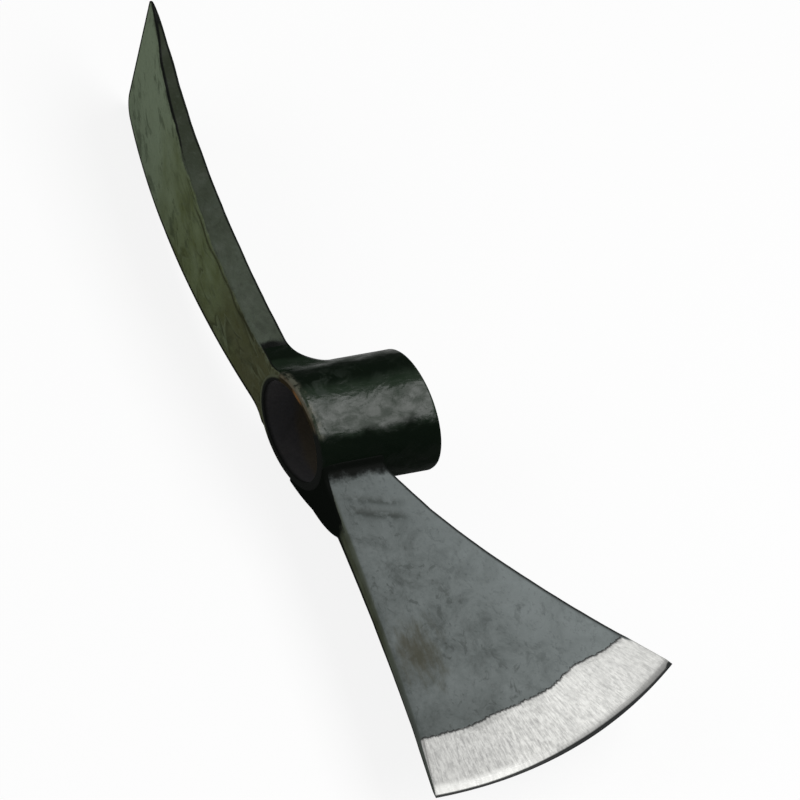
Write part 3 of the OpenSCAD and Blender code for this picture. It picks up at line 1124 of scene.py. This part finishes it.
@dataclass(frozen=True)
class Axe:
    """The fan-shaped axe with its neck and ground bit; sizes in millimetres."""

    eye: Eye
    reach: float = 158.49
    edge_len: float = 110.0
    edge_sweep: float = 17.0
    edge_bulge: float = 9.3
    outer_start: float = 24.5
    outer_hollow: float = 1.2
    inner_hollow: float = 4.1
    neck_reach: float = 46.0
    neck_w: float = 36.0
    root_w: float = 24.5
    neck_fillet: float = 6.0
    blade_t: float = 10.4
    band_t: float = 6.0
    band_w: float = 24.0
    band_heel_w: float = 20.5
    edge_t: float = 0.6
    outer_round: float = 2.4
    inner_round: float = 1.0
    tuck: float = 0.5
    hone_w: float = 2.7
    hone_angle: float = 20.0
    grind_in: float = 0.1
    thin_edge: float = 0.12
    round_share: float = 0.85
    neck_bunch: float = 1.15
    bit_bunch: float = 1.4
    border: tuple[tuple[float, float], ...] = (
        (0.0, 22.8), (0.25, 23.4), (0.32, 24.6), (0.5, 23.9),
        (0.6, 23.1), (0.75, 24.9), (0.87, 21.6), (1.0, 19.5))
    dent_lean: float = 0.30
    dent_rows: tuple[Triple, ...] = ((37.9, 1.6, 0.34), (43.9, 2.0, 0.42))
    upper_waves: tuple[Wave, ...] = (Wave(30.0, 0.16, 31), Wave(9.0, 0.06, 32))
    lower_waves: tuple[Wave, ...] = (Wave(30.0, 0.16, 41), Wave(9.0, 0.06, 42))
    tuck_rows: int = 30
    neck_rows: int = 46
    blade_rows: int = 110
    bit_rows: int = 60
    ring: RingPlan = RingPlan(120, 6, 4)
    sharp: float = 42.0
    bit_sharp: float = 30.0

    def corners(self) -> tuple[Array, Array, Array, Array]:
        """Toe, heel and the neck's outer and inner corner, in the blade's plane."""
        turn = math.radians(self.edge_sweep)
        outer = self.eye.mouth_y(self.outer_start)
        toe = np.array([self.reach, outer])
        heel = toe + self.edge_len * np.array([-math.sin(turn), math.cos(turn)])
        corner = np.array([self.neck_reach, outer])
        return toe, heel, corner, corner + np.array([0, self.neck_w])

    def cutting_edge(self, v: Array) -> Array:
        """Point of the cutting edge: the straight line from toe to heel, bowed outwards."""
        toe, heel, _, _ = self.corners()
        turn = math.radians(self.edge_sweep)
        v = v[..., None]
        return mix(toe, heel, v) + self.edge_bulge * bow(v) * np.array([math.cos(turn), math.sin(turn)])

    def point(self, s: Array, v: Array) -> Array:
        """Point of the patch between the neck's step, the two side edges and the cutting edge.

        The patch is the blend of the two side edges plus the blend of step and cutting edge, less
        the blend of the four corners.

        Args:
            s: Share of the way from the step to the cutting edge.
            v: Share of the way from the outer to the inner edge.

        Returns:
            Points in the blade's plane.
        """
        toe, heel, out, inn = self.corners()
        a, b = s[..., None], v[..., None]
        outer = mix(out, toe, a) + bow(a) * np.array([0, self.outer_hollow])
        inner = mix(inn, heel, a) - bow(a) * np.array([0, self.inner_hollow])
        step = mix(out, inn, b)
        return mix(outer, inner, b) + mix(step, self.cutting_edge(v), a) - mix(step, mix(toe, heel, b), a)

    def length(self, v: Array) -> Array:
        """Straight length from the step to the cutting edge."""
        _, _, out, inn = self.corners()
        return np.linalg.norm(self.cutting_edge(v) - mix(out, inn, v[..., None]), axis=-1)

    def band_start(self, v: Array) -> Array:
        """Share of the length that lies behind the bit."""
        return 1 - mix(self.band_w, self.band_heel_w, v) / self.length(v)

    def width(self, s: Array) -> Array:
        """Straight width between the two side edges at s."""
        return np.linalg.norm(self.point(s, np.ones_like(s)) - self.point(s, np.zeros_like(s)), axis=-1)

    def grind_border(self, v: Array) -> Array:
        """Distance of the ground band's border from the edge, eased between its measured widths."""
        fine = np.linspace(0, 1, 201)
        window = np.hanning(21)
        line = np.pad(np.interp(fine, *np.array(self.border).T), window.size // 2, mode="edge")
        return np.interp(v, fine, np.convolve(line, window / window.sum(), mode="valid"))

    def neck_top(self, x: Array) -> Array:
        """Height of the neck's upper face: flat, with a fillet up to the eye."""
        return self.blade_t / 2 + self.eye.fillet(x, self.blade_t / 2, self.neck_fillet)

    def neck_width(self, x: Array) -> Array:
        """Width of the neck, growing evenly from the eye to the step."""
        k = np.clip((x - self.eye.radius) / (self.neck_reach - self.eye.radius), 0, 1)
        return mix(self.root_w, self.neck_w, k)

    def web_z(self, x: Array) -> Array:
        """Height of the web's underside: an arc from the eye's lowest line to the blade's lower face."""
        drop = self.eye.radius - self.blade_t / 2
        r = (self.neck_reach ** 2 + drop ** 2) / (2 * drop)
        return r - self.eye.radius - np.sqrt(r * r - x * x)

    def dents(self, x: Array, y: Array) -> Array:
        """Depth of two bell-shaped rows of hammer marks on the upper face at the neck's end."""
        lean = x - self.dent_lean * (y + 5)
        rows = sum(deep * np.exp(-((lean - place) / half) ** 2) for place, half, deep in self.dent_rows)
        return ease(-18.0, -10.0, y) * ease(9.0, 2.0, y) * rows

    def neck_line(self, w: Array, turn: float, start: float, height: Callable) -> tuple[Array, Array]:
        """One border line of the neck: straight from inside the eye's wall, then along a face.

        Args:
            w: Shares of the way to the step.
            turn: Angle about the bore where the line starts.
            start: X where the face starts.
            height: The face's Z at X.

        Returns:
            X and Z.
        """
        inside = self.eye.radius - self.eye.wall / 2
        x0, z0 = inside * math.cos(turn), inside * math.sin(turn)
        x = mix(x0, self.neck_reach, w)
        return x, mix(z0, height(np.maximum(x, start)), np.clip((x - x0) / (start - x0), 0, 1))

    @staticmethod
    def patch(w: Array, q: Array, first: Array, last: Array, low: Array, top: Array) -> Array:
        """Blend of four border lines: the two pairs' blends added, less the blend of the corners.

        Args:
            w, q: Shares of the way from the first line to the last, and from the low one to the top.
            first, last: The lines inside the eye's wall and at the step.
            low, top: The lines along the web and along the upper face.

        Returns:
            X or Z of the points.
        """
        corners = mix(mix(low[:1], top[:1], q), mix(last.min(), last.max(), q), w)
        return mix(first, last, w) + mix(low, top, q) - corners

    def neck_grid(self) -> tuple[Array, dict[str, Array]]:
        """Rows of the neck, from inside the eye's wall to the blade's step.

        In the plane of X and Z the neck is a patch between four lines: an arc inside the eye's
        wall, the upper face, the underside of the web and the step. Before it, rows wind up along the
        arc inside the wall, so that the bore stays clear. Across it Y runs from the outer to the
        inner edge.

        Returns:
            The grid of points and the layers.
        """
        p = self.ring.parts()
        radius, half_t = self.eye.radius, self.blade_t / 2
        w = np.linspace(0, 1, self.neck_rows).reshape(-1, 1)[:-1]
        inside, start = radius - self.eye.wall / 2, radius / 4
        high = math.asin((half_t + self.neck_fillet) / (radius + self.neck_fillet))
        low = math.atan2(float(self.web_z(np.array(start))), start)
        top_x, top_z = self.neck_line(w ** self.neck_bunch, high, radius * math.cos(high), self.neck_top)
        low_x, low_z = self.neck_line(w, low, start, self.web_z)
        width = self.neck_width(top_x)
        rounds = np.full_like(width, self.outer_round), np.full_like(width, self.inner_round)
        v = self.ring.across(width, *rounds) / width
        r = np.where(v < 0.5, self.outer_round, self.inner_round) * 2 / (top_z - low_z)
        q = 0.5 + 0.5 * p["sign"] * (p["up"] * (1 - r) + p["arc"] * r)
        angle = mix(low, high, q)
        x = self.patch(w, q, inside * np.cos(angle), np.full_like(q, self.neck_reach), low_x, top_x)
        z = self.patch(w, q, inside * np.sin(angle), mix(-half_t, half_t, q), low_z, top_z)
        t = np.linspace(0, 1, self.tuck_rows).reshape(-1, 1)[:-1]
        spiral = inside - self.tuck * (1 - t)
        angle = mix(mix(high - 0.03, low, t), high + 0.1 * (1 - t), q[:1])
        x = np.vstack([spiral * np.cos(angle), x])
        z = np.vstack([spiral * np.sin(angle), z])
        v = np.vstack([np.repeat(v[:1], len(t), axis=0), v])
        from_eye, width = np.hypot(x, z) - radius, self.neck_width(x)
        y = self.eye.mouth_y(np.minimum(x, self.outer_start)) + 0.25 * ease(0.6, -0.6, from_eye) + v * width
        worn = sunk(self.upper_waves, x, y) * ease(0.0, 8.0, from_eye)
        z = z - p["sign"] * p["up"] * worn - (p["sign"] > 0) * p["arc"] * self.dents(x, y)
        away = self.length(v) - (x - self.neck_reach)
        return np.stack([x, y, z], -1), self.layers(x, y, z, v, width, away)

    def blade_grid(self, share: Array, on_bit: bool) -> tuple[Array, dict[str, Array]]:
        """Rows of the blade behind the seam, or of the bit in front of it.

        The upper face is the lower of two surfaces: the forged face, whose half thickness falls
        evenly from the step to the bit, and the ground face, which rises from the cutting edge over
        a steep hone and then a gentle slope to the border of the grinding.

        Args:
            share: Shares of the way along the blade, or along the bit.
            on_bit: True for the bit.

        Returns:
            The grid of points and the layers.
        """
        p = self.ring.parts()
        k = share.reshape(-1, 1)
        seam = float(self.band_start(np.linspace(0, 1, 41)).mean())
        middle = mix(seam, 1.0, k) if on_bit else seam * k
        width = self.width(middle.ravel()).reshape(-1, 1)
        thin = mix(1.0, self.thin_edge, ease(seam * 0.9, 1.0, middle))
        v = self.ring.across(width, self.outer_round * thin, self.inner_round * thin) / width
        start = self.band_start(v)
        s = mix(start, 1.0, k) if on_bit else start * k
        x, y = np.moveaxis(self.point(s, v), -1, 0)
        away = (1 - s) * self.length(v)
        forged = mix(self.blade_t, self.band_t, np.clip(s / start, 0, 1)) / 2
        hone = math.tan(math.radians(self.hone_angle))
        knee = self.edge_t / 2 + self.hone_w * hone
        behind = away - self.hone_w
        slope = (self.band_t / 2 - self.grind_in - knee) / (self.grind_border(v) - self.hone_w)
        ground = knee + behind * np.where(behind < 0, hone, slope)
        inland = ease(0.0, 10.0, away)
        upper = forged - sunk(self.upper_waves, x, y) * inland - self.dents(x, y)
        lower = forged - sunk(self.lower_waves, x, y) * inland
        height = np.minimum(np.where(p["sign"] > 0, upper, lower), ground)
        r = np.where(v < 0.5, self.outer_round, self.inner_round) * thin
        r = np.minimum(r, self.round_share * height)
        z = p["sign"] * (p["up"] * (height - r) + p["arc"] * r)
        return np.stack([x, y, z], -1), self.layers(x, y, z, v, width, away)

    def layers(self, x: Array, y: Array, z: Array, v: Array, width: Array, away: Array) -> dict[str, Array]:
        """Layers that the finish reads.

        Args:
            x, y, z: Place of each point.
            v: Share of the way from the outer to the inner edge.
            width: Width of the blade there.
            away: Distance from the cutting edge.

        Returns:
            olive, black, rim, dent, grind, along and away.
        """
        p = self.ring.parts()
        from_eye = np.hypot(x, z) - self.eye.radius
        flank = np.clip(1 - p["arc"], 0, 1)
        outer = p["middle"] < 0.5
        # On the outer flank the black reaches far from the eye, over the neck's underside: painted shade.
        reach = mix(3.8, 24.0, ease(0.02, 0.3, flank) * outer)
        # The lower half of the outer flank, which faces down, is darkened: painted shade.
        under = ease(-0.05, -0.5, p["sign"] * p["up"]) * outer * (flank > 0)
        inner_edge = np.maximum(ease(0.0, 0.12, flank) * ~outer, ease(1.9, 1.0, (1 - v) * width))
        inner_edge = inner_edge * mix(0.12, 1.0, ease(13.0, 21.0, away))
        broad = mix(0.26, 0.45, ease(72.0, 26.0, from_eye))
        shoulder = 0.85 * ease(4.6, 2.2, v * width / broad)
        shoulder = shoulder * ease(2.0, 12.0, from_eye) * ease(16.0, 28.0, away)
        deepest = max(deep for _, _, deep in self.dent_rows)
        return {
            "olive": np.maximum(ease(0.1, 0.75, flank), shoulder),
            "black": ease(1.0, -1.0, (from_eye - reach) / mix(7.0, 10.0, flank)),
            "rim": np.maximum(under, inner_edge),
            "dent": np.clip(self.dents(x, y) / deepest, 0, 1) * (p["sign"] > 0) * p["arc"],
            "grind": self.grind_border(v) - away,
            "along": v * self.edge_len,
            "away": away,
        }

    def build(self, material: Material) -> None:
        """Makes and dresses the blade with its neck, and the bit."""
        neck, neck_layers = self.neck_grid()
        blade, layers = self.blade_grid(np.linspace(0, 1, self.blade_rows), False)
        layers = {name: np.vstack([neck_layers[name], layers[name]]) for name in layers}
        body = make_piece("axe_body", np.concatenate([neck, blade]), layers, Wrap.CAPPED_TUBE, self.sharp)
        dress(body, material, "axe_blade")
        bit = self.blade_grid(1 - np.linspace(1, 0, self.bit_rows) ** self.bit_bunch, True)
        edge = make_piece("axe_edge", *bit, Wrap.CAPPED_TUBE, self.bit_sharp)
        dress(edge, material, "axe_bit")


def stand(name: str, data: bpy.types.ID, right: Array, back: Array, place: Array) -> Object:
    """Puts a camera or a lamp into the scene.

    Args:
        name, data: Its name and data.
        right, back: Directions to its right, and away from what it looks at.
        place: Its place in millimetres.

    Returns:
        The new object.
    """
    turn = np.eye(4)
    turn[:3] = np.stack([right, np.cross(back, right), back, np.array(place) * MM], -1)
    thing = bpy.data.objects.new(name, data)
    thing.matrix_world = Matrix(turn.tolist())
    bpy.context.collection.objects.link(thing)
    return thing


@dataclass(frozen=True)
class Lamp:
    """A soft box that looks at the origin: where from, how far, its sides in millimetres and its watts."""

    name: str
    way: Triple
    far: float
    sides: tuple[float, float]
    watts: float

    def hang(self) -> None:
        """Hangs the box with its first side along X."""
        data = bpy.data.lights.new(self.name, "AREA")
        data.shape = "RECTANGLE"
        data.size, data.size_y = (side * MM for side in self.sides)
        data.energy = self.watts
        back = np.array(self.way) / np.linalg.norm(self.way)
        right = np.array((1.0, 0.0, 0.0)) - back[0] * back
        stand(self.name, data, right / np.linalg.norm(right), back, back * self.far)


@dataclass(frozen=True)
class Studio:
    """Camera, pale floor and soft light; lengths in millimetres."""

    place: Triple = (706.65, -472.67, 1244.79)
    right: Triple = (0.31521, 0.92995, 0.18930)
    up: Triple = (-0.82496, 0.16990, 0.53905)
    lens: float = 180.0
    sensor: float = 36.0
    clip: tuple[float, float] = (0.05, 50.0)
    floor_z: float = -33.6
    floor_half: float = 4000.0
    floor_colour: Colour = (0.95, 0.95, 0.95)
    floor_rough: float = 0.9
    floor_glow: float = 0.86
    key: Lamp = Lamp("key", (0.237, 0.392, 0.889), 1200.0, (1567.0, 598.0), 12.6)
    front: Lamp = Lamp("front", (-0.25, -0.85, 0.45), 1400.0, (1200.0, 1200.0), 6.8)
    fill: float = 0.22

    def camera(self) -> None:
        """Stands the camera at the photograph's view."""
        data = bpy.data.cameras.new("view")
        data.lens, data.sensor_width = self.lens, self.sensor
        data.clip_start, data.clip_end = self.clip
        back = np.cross(self.right, self.up)
        bpy.context.scene.camera = stand("view", data, self.right, back, self.place)

    def floor(self) -> None:
        """Lays a pale floor under the head."""
        h, z = self.floor_half * MM, self.floor_z * MM
        mesh = bpy.data.meshes.new("floor")
        mesh.from_pydata([(-h, -h, z), (h, -h, z), (h, h, z), (-h, h, z)], [], [(0, 1, 2, 3)])
        floor = bpy.data.objects.new("floor", mesh)
        bpy.context.collection.objects.link(floor)
        r = Recipe("pale_floor")
        r.finish(Base_Color=self.floor_colour, Roughness=self.floor_rough, Specular_IOR_Level=0.0)
        r.glow(self.floor_glow)
        mesh.materials.append(r.material)

    def lights(self) -> None:
        """Hangs a long soft box over the head and a square one before it, and fills the room with grey."""
        self.key.hang()
        self.front.hang()
        world = bpy.data.worlds.new("room")
        world.use_nodes = True
        sky = world.node_tree.nodes["Background"].inputs
        sky["Color"].default_value = (1.0, 1.0, 1.0, 1.0)
        sky["Strength"].default_value = self.fill
        bpy.context.scene.world = world

    def build(self) -> None:
        """Sets up the whole studio."""
        self.camera()
        self.floor()
        self.lights()
        bpy.context.scene.view_settings.view_transform = "Standard"
        LOG.info("studio: camera, floor and lights")


def main() -> None:
    """Builds the studio and the head, piece by piece."""
    logging.basicConfig(level=logging.INFO, format="%(name)s %(message)s")
    Studio().build()
    eye = Eye()
    black = EyeFinish().material()
    eye.build(black)
    Adze(eye).build(AdzeFinish().material(), black)
    Axe(eye).build(AxeFinish().material())


if __name__ == "__main__":
    main()
